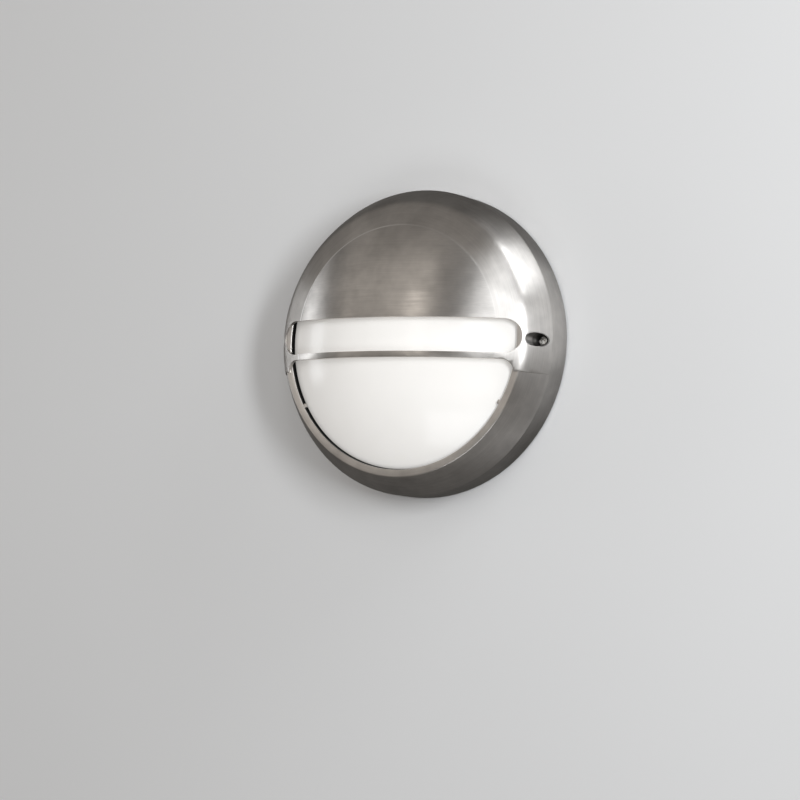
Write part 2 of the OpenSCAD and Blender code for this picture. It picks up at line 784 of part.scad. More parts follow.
front_cover();
opal_glass();
glass_gasket();
glass_clips();
clip_screws();
base_plate();
rim_gasket();
wall_gasket();
cover_screws();
screw_seals();
fixing_washers();
entry_grommet();
entry_plug();
lamp_bracket();
bracket_screws();
holder_body();
holder_shell();
holder_contact();
holder_posts();
holder_screws();
bulb();
terminal_body();
terminal_tubes();
terminal_screws();
block_screws();
live_lead();
neutral_lead();
earth_lead();
earth_lug();
earth_washer();
earth_screw();
reflector();
reflector_screws();
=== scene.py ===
import math
import bmesh
import bpy
from mathutils import Matrix, Vector


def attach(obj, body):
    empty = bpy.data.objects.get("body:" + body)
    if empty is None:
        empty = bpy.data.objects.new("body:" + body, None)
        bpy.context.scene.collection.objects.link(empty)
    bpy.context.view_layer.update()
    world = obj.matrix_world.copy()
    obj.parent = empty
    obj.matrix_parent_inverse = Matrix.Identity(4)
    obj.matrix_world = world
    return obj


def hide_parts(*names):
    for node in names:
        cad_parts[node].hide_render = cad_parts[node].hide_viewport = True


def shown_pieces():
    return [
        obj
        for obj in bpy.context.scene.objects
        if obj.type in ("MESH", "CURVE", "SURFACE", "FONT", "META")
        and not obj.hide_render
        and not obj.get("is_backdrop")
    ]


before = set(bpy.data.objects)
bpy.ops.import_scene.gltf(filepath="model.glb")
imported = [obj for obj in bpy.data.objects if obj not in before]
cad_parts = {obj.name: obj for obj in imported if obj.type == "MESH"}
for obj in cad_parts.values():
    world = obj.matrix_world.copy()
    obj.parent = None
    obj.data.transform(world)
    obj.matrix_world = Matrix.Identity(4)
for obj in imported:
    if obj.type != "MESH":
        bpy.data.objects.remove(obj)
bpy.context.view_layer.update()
print("frame loaded,", len(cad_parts), "nodes")

mm = 0.001    # forms and the camera's distance are in millimetres, looks, wall and lamps in metres
seam = 0.002    # points of a turned form that lie closer than this are one point
scene = bpy.context.scene


# small helpers, in edit or object mode

def objectMode():
    if bpy.context.object and bpy.context.object.mode != "OBJECT":
        bpy.ops.object.mode_set(mode="OBJECT")


def pick(*pieces):
    objectMode()
    bpy.ops.object.select_all(action="DESELECT")
    for piece in pieces:
        piece.select_set(True)
    bpy.context.view_layer.objects.active = pieces[0]


def named(name):
    piece = bpy.context.object
    piece.name = name
    piece.data.name = name
    bpy.ops.object.transform_apply(location=True, rotation=True, scale=True)
    return piece


def edit(piece, mode="VERT"):
    pick(piece)
    bpy.ops.object.mode_set(mode="EDIT")
    bpy.ops.mesh.select_mode(type=mode)
    bpy.ops.mesh.select_all(action="DESELECT")
    return bmesh.from_edit_mesh(piece.data)


def chosen(bm, elements, test):
    for element in elements:
        if test(element):
            element.select_set(True)
    bm.select_flush_mode()


def modified(piece, kind, **settings):
    pick(piece)
    extra = piece.modifiers.new("step", kind)
    for key, value in settings.items():
        setattr(extra, key, value)
    bpy.ops.object.modifier_apply(modifier="step")
    return piece


def cutWith(piece, cutter, operation="DIFFERENCE"):
    modified(piece, "BOOLEAN", operation=operation, object=cutter, solver="EXACT")
    bpy.data.objects.remove(cutter)
    return piece


def copied(piece, name):
    twin = piece.copy()
    twin.data = piece.data.copy()
    twin.name = name
    twin.data.name = name
    scene.collection.objects.link(twin)
    return twin


def joined(name, *pieces):
    pick(*pieces)
    bpy.ops.object.join()
    pieces[0].name = name
    pieces[0].data.name = name
    return pieces[0]


def disc(name, radius, length, x=0.0, y=0.0, vertices=48, ends="NGON"):
    # a cylinder that points out from the wall
    bpy.ops.mesh.primitive_cylinder_add(vertices=vertices, radius=radius * mm, depth=length * mm,
                                        end_fill_type=ends, location=(x * mm, y * mm, 0),
                                        rotation=(math.pi / 2, 0, 0))
    return named(name)


def block(name, *spans):
    # a box from its spans in x, y and z
    bpy.ops.mesh.primitive_cube_add(size=1, location=[(low + high) / 2 * mm for low, high in spans],
                                    scale=[(high - low) * mm for low, high in spans])
    return named(name)


def smoothed(piece, angle=30):
    pick(piece)
    bpy.ops.object.shade_smooth_by_angle(angle=math.radians(angle))
    return piece


def roundedOutline(corners, steps=4):
    # corners are (across, out, radius); each corner with a radius becomes an arc
    line = []
    longest = 0.48    # of a side may go into one arc
    for i, (a, b, r) in enumerate(corners):
        here = Vector((a, b))
        before = Vector(corners[i - 1][:2])
        after = Vector(corners[(i + 1) % len(corners)][:2])
        if r <= 0:
            line.append(here)
            continue
        u, w = (before - here).normalized(), (after - here).normalized()
        half = u.angle(w) / 2
        reach = min(r / math.tan(half), longest * (before - here).length, longest * (after - here).length)
        r = reach * math.tan(half)
        centre = here + (u + w).normalized() * (r / math.sin(half))
        first, last = here + u * reach - centre, here + w * reach - centre
        turn = first.angle_signed(last)
        for k in range(steps + 1):
            spot = first.copy()
            spot.rotate(Matrix.Rotation(-turn * k / steps, 2))
            line.append(centre + spot)
    return line


def turned(name, line, steps, closed=True):
    # a section (radius, distance from the wall) drawn by extruding and spun round Y
    start = line[0]
    bpy.ops.mesh.primitive_plane_add(size=mm, location=(start[0] * mm, -start[1] * mm, 0))
    piece = named(name)
    edit(piece)
    bpy.ops.mesh.select_all(action="SELECT")
    bpy.ops.mesh.merge(type="CENTER")
    for here, there in zip(line, line[1:]):
        step = (Vector(there) - Vector(here)) * mm
        bpy.ops.mesh.extrude_region_move(TRANSFORM_OT_translate={"value": (step.x, -step.y, 0)})
    if closed:
        bm = bmesh.from_edit_mesh(piece.data)
        chosen(bm, bm.verts, lambda v: len(v.link_edges) == 1)
        bpy.ops.mesh.edge_face_add()
    bpy.ops.mesh.select_all(action="SELECT")
    bpy.ops.mesh.spin(steps=steps, angle=2 * math.pi, center=(0, 0, 0), axis=(0, 1, 0))
    bpy.ops.mesh.select_all(action="SELECT")
    bpy.ops.mesh.remove_doubles(threshold=seam * mm)
    bpy.ops.mesh.normals_make_consistent(inside=False)
    objectMode()
    return piece


# looks

def nodeTree(material):
    material.use_nodes = True
    tree = material.node_tree
    tree.nodes.clear()
    out = tree.nodes.new("ShaderNodeOutputMaterial")
    shader = tree.nodes.new("ShaderNodeBsdfPrincipled")
    tree.links.new(shader.outputs[0], out.inputs[0])
    return tree, shader


def added(tree, kind, settings=None, **inputs):
    node = tree.nodes.new("ShaderNode" + kind)
    for key, value in (settings or {}).items():
        setattr(node, key, value)
    for key, value in inputs.items():
        socket = node.inputs[int(key[1:])] if key[0] == "i" and key[1:].isdigit() else node.inputs[key]
        if isinstance(value, bpy.types.NodeSocket):
            tree.links.new(value, socket)
        else:
            socket.default_value = value
    return node


def sums(tree, operation, *values):
    node = added(tree, "Math", {"operation": operation}, **{"i%d" % k: v for k, v in enumerate(values)})
    return node.outputs[0]


def fromAxis(tree, x, z):
    return sums(tree, "SQRT", sums(tree, "ADD", sums(tree, "MULTIPLY", x, x), sums(tree, "MULTIPLY", z, z)))


def blended(tree, first, second, part):
    # a part of the second value and the rest of the first
    return sums(tree, "ADD", sums(tree, "MULTIPLY", first, 1 - part), sums(tree, "MULTIPLY", second, part))


def vectors(tree, operation, *values):
    node = added(tree, "VectorMath", {"operation": operation}, **{"i%d" % k: v for k, v in enumerate(values)})
    return node.outputs["Value"] if operation == "LENGTH" else node.outputs["Vector"]


def arrow(tree, x, y, z):
    return added(tree, "CombineXYZ", None, X=x, Y=y, Z=z).outputs[0]


def noise(tree, place, scale, detail=3.0, rough=0.5):
    node = added(tree, "TexNoise", None, Vector=place, Scale=scale, Detail=detail, Roughness=rough)
    return node.outputs["Fac"]


def ranged(tree, value, low, high, toLow, toHigh, steps="LINEAR"):
    kind = {"clamp": True, "interpolation_type": steps}
    return added(tree, "MapRange", kind, i0=value, i1=low, i2=high, i3=toLow, i4=toHigh).outputs[0]


def shaded(tree, factor, low, high, blend="MIX"):
    # a colour between two colours
    kind = {"data_type": "RGBA", "blend_type": blend}
    return added(tree, "Mix", kind, i0=factor, i6=low, i7=high).outputs[2]


def either(tree, factor, first, second):
    # one of two directions or places
    return added(tree, "Mix", {"data_type": "VECTOR"}, i0=factor, i4=first, i5=second).outputs[1]


def bumped(tree, shader, height, strength, distance):
    node = added(tree, "Bump", None, Height=height, Strength=strength, Distance=distance)
    tree.links.new(node.outputs[0], shader.inputs["Normal"])


def toned(c, k=1.0):
    # a colour k times as bright, with its alpha
    return (c[0] * k, c[1] * k, c[2] * k, 1)


noiseSpan = (0.3, 0.7)    # nearly all values of a noise lie between these


brushedCover = {
    "colour": (0.61, 0.583, 0.555),
    "variation": 0.11,
    "roughness": (0.38, 0.27),    # where the lines are dark and where they are pale
    "anisotropy": 0.75,
    "creaseRadius": 0.096,    # inside it the brushing runs level, outside it runs round
    "creaseSoft": 0.0003,
    "levelStretch": (0.02, 0.3),    # in x and in y
    "roundStretch": (0.003, 0.8),    # round the axis and in y
    "nearAxis": 0.001,
    "fineLines": (1500, 2.0),    # scale, detail and roughness of a noise
    "coarseLines": (330, 4.0, 0.6),
    "coarseShare": 0.55,
    "clouds": (30.0, 3.0, 0.6),    # hand-polished patches
    "cloudShare": 0.25,
    "cloudSpan": (0.34, 0.66),
    "cloudShade": (0.86, 1.10),
    "creaseHighlightColour": (0.88, 0.86, 0.84),    # painted highlight along the crease, strongest at the left
    "shineWidth": (0.0002, 0.0008),
    "shineStrength": 0.95,
    "shineTurn": (-0.02, 0.02),
    "shineRight": 0.15,
    "openingWallBlack": (0.012, 0.012, 0.012),
    "blackRadius": 0.1093,
    "blackWithin": 0.0004,
    "blackFrom": (-0.0504, -0.0502),
    "wellAt": 0.1224,    # the middle of a cover screw's hole
    "wellWithin": 0.0064,
    "wellFrom": (-0.0385, -0.0365),
    "wellShade": 0.35,
    "bump": 0.10,
    "bumpDepth": 0.0002,
}


def brushedLines(tree, s, place, radius, around):
    # level lines: long in x, short in z. round lines: long round the axis, short along the radius
    x, y, z = added(tree, "SeparateXYZ", None, Vector=place).outputs
    levelPlace = arrow(tree, sums(tree, "MULTIPLY", x, s["levelStretch"][0]),
                       sums(tree, "MULTIPLY", y, s["levelStretch"][1]), z)
    away = sums(tree, "MAXIMUM", radius, s["nearAxis"])
    roundPlace = arrow(tree, sums(tree, "MULTIPLY", sums(tree, "DIVIDE", x, away), s["roundStretch"][0]),
                       sums(tree, "MULTIPLY", sums(tree, "DIVIDE", z, away), s["roundStretch"][0]),
                       sums(tree, "ADD", radius, sums(tree, "MULTIPLY", y, s["roundStretch"][1])))
    lines = either(tree, around, levelPlace, roundPlace)
    fine, coarse = noise(tree, lines, *s["fineLines"]), noise(tree, lines, *s["coarseLines"])
    return blended(tree, fine, coarse, s["coarseShare"])


def acrossLines(tree, x, z, around):
    # the highlight spreads across the lines
    facing = added(tree, "NewGeometry").outputs["Normal"]
    ring = vectors(tree, "NORMALIZE", arrow(tree, sums(tree, "MULTIPLY", z, -1.0), 0.0, x))
    along = either(tree, around, arrow(tree, 1.0, 0.0, 0.0), ring)
    return vectors(tree, "NORMALIZE", vectors(tree, "CROSS_PRODUCT", facing, along))


def brushedCoverMaterial():
    s = brushedCover
    material = bpy.data.materials.new("brushedCover")
    tree, shader = nodeTree(material)
    place = added(tree, "TexCoord").outputs["Object"]
    x, y, z = added(tree, "SeparateXYZ", None, Vector=place).outputs
    radius = fromAxis(tree, x, z)
    crease, soft = s["creaseRadius"], s["creaseSoft"]
    around = ranged(tree, radius, crease - soft, crease + soft, 0.0, 1.0)
    cloud = noise(tree, place, *s["clouds"])
    tone = blended(tree, brushedLines(tree, s, place, radius, around), cloud, s["cloudShare"])
    colour = shaded(tree, ranged(tree, tone, *noiseSpan, 0.0, 1.0),
                    toned(s["colour"], 1 - s["variation"]), toned(s["colour"], 1 + s["variation"]))
    patches = shaded(tree, ranged(tree, cloud, *s["cloudSpan"], 0.0, 1.0),
                     *[toned((k, k, k)) for k in s["cloudShade"]])
    colour = shaded(tree, 1.0, colour, patches, "MULTIPLY")
    # painted highlight: a pale line along the crease, fading towards the right
    offCrease = sums(tree, "ABSOLUTE", sums(tree, "SUBTRACT", radius, crease))
    paintedCreaseHighlight = sums(tree, "MULTIPLY", ranged(tree, offCrease, *s["shineWidth"], s["shineStrength"], 0.0),
                ranged(tree, x, *s["shineTurn"], 1.0, s["shineRight"]))
    colour = shaded(tree, paintedCreaseHighlight, colour, toned(s["creaseHighlightColour"]))
    # the wall of the round opening is coloured near black, from a little under the front land
    offWall = sums(tree, "ABSOLUTE", sums(tree, "SUBTRACT", radius, s["blackRadius"]))
    black = sums(tree, "MULTIPLY", sums(tree, "LESS_THAN", offWall, s["blackWithin"]),
                 ranged(tree, y, *s["blackFrom"], 0.0, 1.0))
    colour = shaded(tree, black, colour, toned(s["openingWallBlack"]))
    # painted shade: the screw holes are darker inside, from a little under their mouths
    fromWell = fromAxis(tree, sums(tree, "SUBTRACT", sums(tree, "ABSOLUTE", x), s["wellAt"]), z)
    inWell = sums(tree, "MULTIPLY", sums(tree, "LESS_THAN", fromWell, s["wellWithin"]),
                  ranged(tree, y, *s["wellFrom"], 0.0, 1.0))
    colour = shaded(tree, inWell, colour, toned(s["colour"], s["wellShade"]))
    tree.links.new(colour, shader.inputs["Base Color"])
    tree.links.new(ranged(tree, tone, *noiseSpan, *s["roughness"]), shader.inputs["Roughness"])
    tree.links.new(acrossLines(tree, x, z, around), shader.inputs["Tangent"])
    shader.inputs["Metallic"].default_value = 1
    shader.inputs["Anisotropic"].default_value = s["anisotropy"]
    bumped(tree, shader, tone, s["bump"], s["bumpDepth"])
    return material


opalPaintedGlow = {
    "colour": (0.88, 0.86, 0.83),
    "glow": (1.0, 0.975, 0.94),
    "strength": (0.27, 0.18),    # painted glow: round the bright spot and far from it
    "middle": (0.028, -0.07, -0.012),
    "reach": (0.02, 0.135),
    "milk": (55.0, 3.0),
    "milkShade": (0.98, 1.02),
    "milkGlow": (0.985, 1.015),
    "ripples": (18.0, 2.0),
    "bump": 0.05,
    "bumpDepth": 0.0004,
    "roughness": 0.16,
    "ior": 1.5,
}


def opalMaterial():
    s = opalPaintedGlow
    material = bpy.data.materials.new("opalGlass")
    tree, shader = nodeTree(material)
    place = added(tree, "TexCoord").outputs["Object"]
    # painted light: the glass glows, brightest round a spot right of its middle, in place of light falling on
    # it
    gap = vectors(tree, "LENGTH", vectors(tree, "SUBTRACT", place, s["middle"]))
    near = ranged(tree, gap, *s["reach"], *s["strength"], "SMOOTHSTEP")
    milk = noise(tree, place, *s["milk"])
    uneven = sums(tree, "MULTIPLY", near, ranged(tree, milk, *noiseSpan, *s["milkGlow"]))
    colour = shaded(tree, milk, *[toned(s["colour"], k) for k in s["milkShade"]])
    tree.links.new(colour, shader.inputs["Base Color"])
    tree.links.new(uneven, shader.inputs["Emission Strength"])
    shader.inputs["Emission Color"].default_value = toned(s["glow"])
    shader.inputs["Roughness"].default_value = s["roughness"]
    shader.inputs["IOR"].default_value = s["ior"]
    bumped(tree, shader, noise(tree, place, *s["ripples"]), s["bump"], s["bumpDepth"])
    return material


# what a plain finish has where it says nothing else
plain = {
    "mottleDetail": (4.0, 0.6),
    "grainDetail": (3.0, 0.6),
    "grainShare": 0.4,
    "uneven": 0.06,    # of the roughness, up and down
    "coatRoughness": 0.08,
    "stretch": (1, 1, 1), "change": 0.12, "metal": 0.0, "coat": 0.0, "ior": 1.5, "bump": 0.2, "depth": 0.0001,
}


def plainMaterial(name, own):
    # one recipe for the solid finishes: mottled colour, uneven gloss and a fine surface
    s = {**plain, **own}
    material = bpy.data.materials.new(name)
    tree, shader = nodeTree(material)
    place = added(tree, "TexCoord").outputs["Object"]
    stretched = added(tree, "Mapping", None, Vector=place, Scale=s["stretch"]).outputs[0]
    mottle = noise(tree, stretched, s["mottle"], *s["mottleDetail"])
    grain = noise(tree, stretched, s["grain"], *s["grainDetail"])
    both = blended(tree, mottle, grain, s["grainShare"])
    colour = shaded(tree, ranged(tree, both, *noiseSpan, 0.0, 1.0),
                    toned(s["colour"], 1 - s["change"]), toned(s["colour"], 1 + s["change"]))
    tree.links.new(colour, shader.inputs["Base Color"])
    rough, uneven = s["roughness"], s["uneven"]
    tree.links.new(ranged(tree, both, *noiseSpan, rough + uneven, rough - uneven), shader.inputs["Roughness"])
    shader.inputs["Metallic"].default_value = s["metal"]
    shader.inputs["IOR"].default_value = s["ior"]
    shader.inputs["Coat Weight"].default_value = s["coat"]
    shader.inputs["Coat Roughness"].default_value = s["coatRoughness"]
    bumped(tree, shader, grain, s["bump"], s["depth"])
    return material


cable = {"roughness": 0.36, "mottle": 70, "grain": 2400, "bump": 0.1}
finishes = {
    "black_rubber": {"colour": (0.022, 0.022, 0.023), "roughness": 0.62,
                     "mottle": 60, "grain": 2600, "bump": 0.35},
    "spring_steel": {"colour": (0.56, 0.56, 0.55), "roughness": 0.28, "metal": 1.0,
                     "mottle": 40, "grain": 1800, "stretch": (0.05, 1, 1)},
    "screw_steel": {"colour": (0.60, 0.60, 0.58), "roughness": 0.30, "metal": 1.0,
                    "mottle": 200, "grain": 3000, "bump": 0.12},
    "cover_screw_steel": {"colour": (0.55, 0.54, 0.52), "roughness": 0.26, "metal": 1.0,
                          "mottle": 250, "grain": 3500, "bump": 0.12},
    "cast_base": {"colour": (0.50, 0.50, 0.49), "roughness": 0.52, "metal": 1.0,
                  "mottle": 30, "grain": 1400, "bump": 0.5, "depth": 0.00025},
    "ceramic": {"colour": (0.83, 0.82, 0.79), "roughness": 0.18, "coat": 0.6,
                "mottle": 40, "grain": 700, "bump": 0.08, "change": 0.03},
    "brass": {"colour": (0.72, 0.53, 0.26), "roughness": 0.30, "metal": 1.0,
              "mottle": 120, "grain": 2600, "bump": 0.1},
    "bulb_glass": {"colour": (0.88, 0.87, 0.85), "roughness": 0.12, "coat": 0.5,
                   "mottle": 30, "grain": 900, "bump": 0.03, "change": 0.02},
    "white_plastic": {"colour": (0.80, 0.79, 0.76), "roughness": 0.38,
                      "mottle": 60, "grain": 2200, "bump": 0.12, "change": 0.04},
    "brown_cable": {"colour": (0.16, 0.065, 0.028), **cable},
    "blue_cable": {"colour": (0.03, 0.10, 0.42), **cable},
    "green_cable": {"colour": (0.10, 0.32, 0.05), **cable},
    "white_plate": {"colour": (0.82, 0.82, 0.80), "roughness": 0.35, "coat": 0.3,
                    "mottle": 50, "grain": 1600, "bump": 0.12, "change": 0.03},
}

looks = {name: plainMaterial(name, s) for name, s in finishes.items()}
looks["brushed_cover"] = brushedCoverMaterial()
looks["opal_glass"] = opalMaterial()
print("materials made,", len(looks))


def dressed(piece, look, *standsFor):
    piece.data.materials.clear()
    piece.data.materials.append(looks[look])
    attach(piece, "root")
    if standsFor:
        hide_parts(*standsFor)
    return piece


# every node of the frame gets the finish that its slot names
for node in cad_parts.values():
    for i, slot in enumerate(list(node.data.materials)):
        node.data.materials[i] = looks[slot.name]
print("nodes dressed")


# front cover

cover = {
    "radius": 130,    # of the whole light; the skirt is drawn a hair inside it
    "skirtRadius": 129.96, "skirtInner": 127, "skirtStart": 1, "skirt": 23.8, "land": 51,
    "landOuter": 115.5, "opening": 109.3, "wall": 3, "lipLow": 43, "lipOuter": 112.3,
    "bulge": 0.6, "flankSteps": 8, "turns": 180,
    # how round each corner of the section is
    "footInner": 0.4, "footOuter": 0.5, "skirtEdge": 0.6, "landEdge": 1.2, "openingEdge": 0.7,
    "lipEdge": 0.4, "lipBack": 0.3, "underLand": 0.6, "underFlank": 0.8,
    "wellCut": 5.95, "wellCutLow": 16, "wellCutHigh": 76,
    "lugs": [91, 211, 331], "lugWidth": 3.6, "lugFrom": 106.95, "lugLow": 48.42, "lugTop": 50.78,
    "lugInto": 0.6, "lugEdge": 0.3, "lugSegments": 2,
}


def flankArc():
    # the flank bulges a little: middle and radius of its arc
    run, rise = cover["radius"] - cover["landOuter"], cover["land"] - cover["skirt"]
    slant, bulge = math.hypot(run, rise), cover["bulge"]
    radius = (slant ** 2 / 4 + bulge ** 2) / (2 * bulge)
    middle = Vector(((cover["radius"] + cover["landOuter"]) / 2, (cover["land"] + cover["skirt"]) / 2))
    return middle - Vector((rise, run)) / slant * (radius - bulge), radius


def flankRadius(h, off=0.0):
    middle, radius = flankArc()
    return middle.x + math.sqrt((radius + off) ** 2 - (h - middle.y) ** 2)


def flankHeight(r, off=0.0):
    middle, radius = flankArc()
    return middle.y + math.sqrt((radius + off) ** 2 - (r - middle.x) ** 2)


def coverRing():
    s = cover
    innerTop, count = s["land"] - s["wall"], s["flankSteps"]
    flank = [s["skirt"] + (s["land"] - s["skirt"]) * i / count for i in range(1, count)]
    section = [
        (s["skirtInner"], s["skirtStart"], s["footInner"]),
        (s["skirtRadius"], s["skirtStart"], s["footOuter"]),
        (s["skirtRadius"], s["skirt"], s["skirtEdge"]),
        *[(flankRadius(h), h, 0) for h in flank],
        (s["landOuter"], s["land"], s["landEdge"]),
        (s["opening"], s["land"], s["openingEdge"]),
        (s["opening"], s["lipLow"], s["lipEdge"]),
        (s["lipOuter"], s["lipLow"], s["lipBack"]),
        (s["lipOuter"], innerTop, s["underLand"]),
        (flankRadius(innerTop, -s["wall"]), innerTop, s["underFlank"]),
        (s["skirtInner"], flankHeight(s["skirtInner"], -s["wall"]), s["underFlank"]),
    ]
    piece = turned("coverRing", roundedOutline(section), s["turns"])
    low, high = s["wellCutLow"], s["wellCutHigh"]
    for side in (-1, 1):
        cutWith(piece, disc("wellCutter", s["wellCut"], high - low, side * hood["screwX"], -(low + high) / 2))
    for angle in s["lugs"]:
        # a small lug reaches over the edge of the glass
        lug = block("lug", (s["lugFrom"], s["opening"] + s["lugInto"]), (-s["lugTop"], -s["lugLow"]),
                    (-s["lugWidth"] / 2, s["lugWidth"] / 2))
        modified(lug, "BEVEL", width=s["lugEdge"] * mm, segments=s["lugSegments"])
        lug.data.transform(Matrix.Rotation(-math.radians(angle), 4, "Y"))
        cutWith(piece, lug, "UNION")
    return dressed(smoothed(piece), "brushed_cover", "front_cover")


hood = {
    "top": 82.6, "creaseRadius": 96, "crease": 61.5, "proud": 1.2, "thick": 3.2, "blend": 20,
    "drop": 27.5, "slotTop": 15.9, "slotLow": -12.7, "slotHalf": 114.9, "slotSlack": 0.05, "slotSteps": 16,
    "bar": 4.9, "windowCorner": 9, "windowPast": 0.6, "windowDown": 40, "windowSteps": 10,
    "screwX": 122.4, "wellRadius": 5.75, "cutterDepth": 40, "outlineSteps": 240,
    "edge": 0.9, "edgeSteps": 3, "edgeAngle": 40, "smooth": 38,
    "rimCrisp": 0.3,    # the edge along the skirt is that much sharper than the others
    "spokes": 90, "ringSteps": 180, "ringDepth": 20, "ringSeam": 0.01,
    "rings": [30, 45, 60, 72, 84, 90, 95, 97, 102, 107, 111, 113, 115, 117, 119, 121, 123, 125, 127.5],
}


def hoodHeight(radius, depth):
    # distance from the wall of the surface that lies depth under the hood's face:
    # a ball, a straight shoulder, a round blend and then the flank's arc
    s = hood
    drop = s["top"] - s["crease"]
    ball = (s["creaseRadius"] ** 2 + drop ** 2) / (2 * drop)
    flankMiddle, flank = flankArc()
    flank += s["proud"]
    outward = Vector((cover["land"] - cover["skirt"], cover["radius"] - cover["landOuter"])).normalized()
    corner = Vector((cover["landOuter"], cover["land"])) + outward * s["proud"]
    gentle = math.atan2(s["crease"] - corner.y, corner.x - s["creaseRadius"])
    up, along = Vector((math.sin(gentle), math.cos(gentle))), Vector((math.cos(gentle), -math.sin(gentle)))
    level = up.dot(Vector((s["creaseRadius"], s["crease"])))
    foot = up * (level - s["blend"])
    gap = foot - flankMiddle
    run = gap.dot(along)
    middle = foot + along * (math.sqrt(run ** 2 - gap.length_squared + (flank - s["blend"]) ** 2) - run)
    lean = (middle - flankMiddle).normalized().x
    face = s["top"] - ball + math.sqrt(max((ball - depth) ** 2 - radius ** 2, 0))
    if radius < middle.x + (s["blend"] - depth) * up.x:
        side = (level - depth - radius * up.x) / up.y
    elif radius < flankMiddle.x + (flank - depth) * lean:
        side = middle.y + math.sqrt(max((s["blend"] - depth) ** 2 - (radius - middle.x) ** 2, 0))
    else:
        side = flankMiddle.y + math.sqrt((flank - depth) ** 2 - (radius - flankMiddle.x) ** 2)
    return min(face, side)


def roundedBlock(name, across, low, high, radius, steps, onlyTop=False):
    depth = hood["cutterDepth"]
    piece = block(name, (-across, across), (-depth / 2, depth / 2), (low, high))
    bm = edit(piece, "EDGE")
    chosen(bm, bm.edges, lambda e: abs(e.verts[0].co.y - e.verts[1].co.y) > depth / 2 * mm
           and (not onlyTop or e.verts[0].co.z > (low + high) / 2 * mm))
    bpy.ops.mesh.bevel(offset=radius * mm, segments=steps, affect="EDGES")
    objectMode()
    return piece


def hoodPlate():
    # the hood as a flat plate with its slot, window and screw holes, and with rounded edges
    s = hood
    bpy.ops.mesh.primitive_circle_add(vertices=s["outlineSteps"], radius=cover["radius"] * mm,
                                      fill_type="NGON", rotation=(math.pi / 2, 0, 0))
    piece = named("coverHood")
    edit(piece)
    bpy.ops.mesh.select_all(action="SELECT")
    bpy.ops.mesh.bisect(plane_co=(0, 0, -s["drop"] * mm), plane_no=(0, 0, 1), clear_inner=True)
    bpy.ops.mesh.select_all(action="SELECT")
    bpy.ops.mesh.extrude_region_move(TRANSFORM_OT_translate={"value": (0, s["thick"] * mm, 0)})
    bpy.ops.mesh.select_all(action="SELECT")
    bpy.ops.mesh.normals_make_consistent(inside=False)
    objectMode()
    slotRound = (s["slotTop"] - s["slotLow"]) / 2 - s["slotSlack"]
    cutWith(piece, roundedBlock("slotCutter", s["slotHalf"], s["slotLow"], s["slotTop"],
                                slotRound, s["slotSteps"]))
    top = s["slotLow"] - s["bar"]
    half = math.sqrt(cover["opening"] ** 2 - top ** 2) + s["windowPast"]
    cutWith(piece, roundedBlock("windowCutter", half, top - s["windowDown"], top,
                                s["windowCorner"], s["windowSteps"], True))
    for side in (-1, 1):
        cutWith(piece, disc("wellCutter", s["wellRadius"], s["cutterDepth"], side * s["screwX"]))
    return modified(piece, "BEVEL", width=s["edge"] * mm, segments=s["edgeSteps"],
                    limit_method="ANGLE", angle_limit=math.radians(s["edgeAngle"]))


def flexible(piece):
    # spokes and rings of cuts let the plate bend
    s = hood
    edit(piece)
    for i in range(s["spokes"]):
        angle = math.pi * (i + 0.5) / s["spokes"]
        bpy.ops.mesh.select_all(action="SELECT")
        bpy.ops.mesh.bisect(plane_co=(0, 0, 0), plane_no=(math.cos(angle), 0, math.sin(angle)))
    objectMode()
    shells = [disc("shell", radius, s["ringDepth"], 0, s["thick"] / 2, s["ringSteps"], "NOTHING")
              for radius in s["rings"]]
    shell = joined("shells", *shells)
    piece.data.materials.append(looks["brushed_cover"])
    shell.data.materials.append(looks["screw_steel"])
    joined("coverHood", piece, shell)
    bm = edit(piece, "FACE")
    chosen(bm, bm.faces, lambda f: f.material_index == 1)
    bpy.ops.mesh.intersect(mode="SELECT_UNSELECT", separate_mode="NONE", solver="EXACT")
    bpy.ops.mesh.select_all(action="DESELECT")
    bm = bmesh.from_edit_mesh(piece.data)
    chosen(bm, bm.faces, lambda f: f.material_index == 1)
    bpy.ops.mesh.delete(type="FACE")
    bpy.ops.mesh.select_all(action="SELECT")
    bpy.ops.mesh.remove_doubles(threshold=s["ringSeam"] * mm)
    return piece


def coverHood():
    # every point of the flat plate is moved out onto the hood's form
    s, rim = hood, cover["radius"]
    piece = flexible(hoodPlate())
    bm = bmesh.from_edit_mesh(piece.data)
    for v in bm.verts:
        radius = math.hypot(v.co.x, v.co.z) / mm
        part = v.co.y / (s["thick"] * mm)
        if radius > rim - s["edge"]:
            farther = rim - (rim - radius) * s["rimCrisp"]
            v.co.x, v.co.z = v.co.x * farther / radius, v.co.z * farther / radius
            radius = farther
            part = part * s["rimCrisp"] if part < 0.5 else 1 - (1 - part) * s["rimCrisp"]
        front, back = hoodHeight(radius, 0), hoodHeight(radius, s["thick"])
        v.co.y = -(front + (back - front) * part) * mm
    bmesh.update_edit_mesh(piece.data)
    objectMode()
    return dressed(smoothed(piece, s["smooth"]), "brushed_cover", "front_cover")


# the bosses round the two sunk screws, seen down their holes
wells = {
    "radius": 7.5, "hole": 5.8, "bore": 2.3, "low": 11, "seat": 24, "top": 40, "underHood": 2.2,
    "trimAbove": 35, "lowEdge": 0.4, "seatEdge": 0.5, "boreEdge": 0.2, "turns": 48,
}


